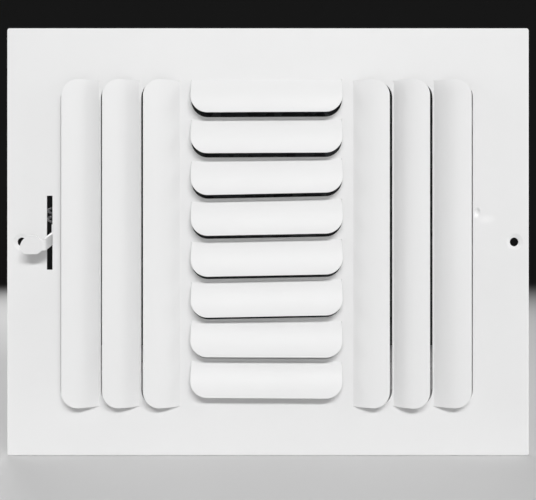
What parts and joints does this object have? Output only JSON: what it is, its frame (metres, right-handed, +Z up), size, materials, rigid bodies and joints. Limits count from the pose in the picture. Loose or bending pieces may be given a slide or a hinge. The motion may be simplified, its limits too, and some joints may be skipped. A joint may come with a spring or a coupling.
{
  "type": "three-way supply grille",
  "caption": "Stamped steel supply grille with louvres that throw air down and to both sides, and a linked-blade damper behind them worked by a lever through a slot.",
  "frame": {"origin": "midway between the two screw holes, on the back of the face sheet", "axes": "+X to the right and +Z up as the face is looked at, +Y back into the duct"},
  "size_m": [0.2986, 0.0508, 0.2446],
  "materials": {
    "white_paint": "satin",
    "dark_galvanised": "matte",
    "zinc_plate": "satin",
    "spring_wire": "satin"
  },
  "bodies": {
    "frame": {"face_plate": "white_paint", "damper_top_rail": "white_paint", "damper_bottom_rail": "white_paint", "damper_left_end": "white_paint", "damper_right_end": "white_paint", "lever_spring": "spring_wire"},
    "blade_1": {"blade_1": "dark_galvanised", "blade_1_rod": "zinc_plate"},
    "blade_2": {"blade_2": "dark_galvanised", "blade_2_rod": "zinc_plate"},
    "blade_3": {"blade_3": "dark_galvanised", "blade_3_rod": "zinc_plate"},
    "blade_4": {"blade_4": "dark_galvanised", "blade_4_rod": "zinc_plate", "lever": "white_paint", "lever_washer": "zinc_plate"},
    "blade_5": {"blade_5": "dark_galvanised", "blade_5_rod": "zinc_plate"},
    "blade_6": {"blade_6": "dark_galvanised", "blade_6_rod": "zinc_plate"},
    "blade_7": {"blade_7": "white_paint", "blade_7_rod": "zinc_plate"},
    "link_bar": {"link_bar": "dark_galvanised", "link_rivets": "zinc_plate"}
  },
  "joints": [
    {"name": "lever_turn", "type": "hinge", "parent": "frame", "child": "blade_4", "pos_m": [0, 0.0174, 0.0053], "axis": [1, 0, 0], "range_deg": [-50, 14], "deforming": ["lever_spring"]},
    {"name": "blade_1_turn", "type": "hinge", "parent": "frame", "child": "blade_1", "pos_m": [0, 0.0174, 0.0839], "axis": [1, 0, 0], "range_deg": [-50, 14]},
    {"name": "blade_2_turn", "type": "hinge", "parent": "frame", "child": "blade_2", "pos_m": [0, 0.0174, 0.0577], "axis": [1, 0, 0], "range_deg": [-50, 14]},
    {"name": "blade_3_turn", "type": "hinge", "parent": "frame", "child": "blade_3", "pos_m": [0, 0.0174, 0.0315], "axis": [1, 0, 0], "range_deg": [-50, 14]},
    {"name": "blade_5_turn", "type": "hinge", "parent": "frame", "child": "blade_5", "pos_m": [0, 0.0174, -0.0209], "axis": [1, 0, 0], "range_deg": [-50, 14]},
    {"name": "blade_6_turn", "type": "hinge", "parent": "frame", "child": "blade_6", "pos_m": [0, 0.0174, -0.0471], "axis": [1, 0, 0], "range_deg": [-50, 14]},
    {"name": "blade_7_turn", "type": "hinge", "parent": "frame", "child": "blade_7", "pos_m": [0, 0.0174, -0.0733], "axis": [1, 0, 0], "range_deg": [-50, 14]},
    {"name": "link_swing", "type": "hinge", "parent": "blade_4", "child": "link_bar", "pos_m": [-0.064, 0.02604, 0.00845], "axis": [1, 0, 0], "range_deg": [-14, 50]}
  ],
  "couplings": [
    {"joint": "blade_1_turn", "follows": "lever_turn", "ratio": 1},
    {"joint": "blade_2_turn", "follows": "lever_turn", "ratio": 1},
    {"joint": "blade_3_turn", "follows": "lever_turn", "ratio": 1},
    {"joint": "blade_5_turn", "follows": "lever_turn", "ratio": 1},
    {"joint": "blade_6_turn", "follows": "lever_turn", "ratio": 1},
    {"joint": "blade_7_turn", "follows": "lever_turn", "ratio": 1},
    {"joint": "link_swing", "follows": "lever_turn", "ratio": -1}
  ]
}
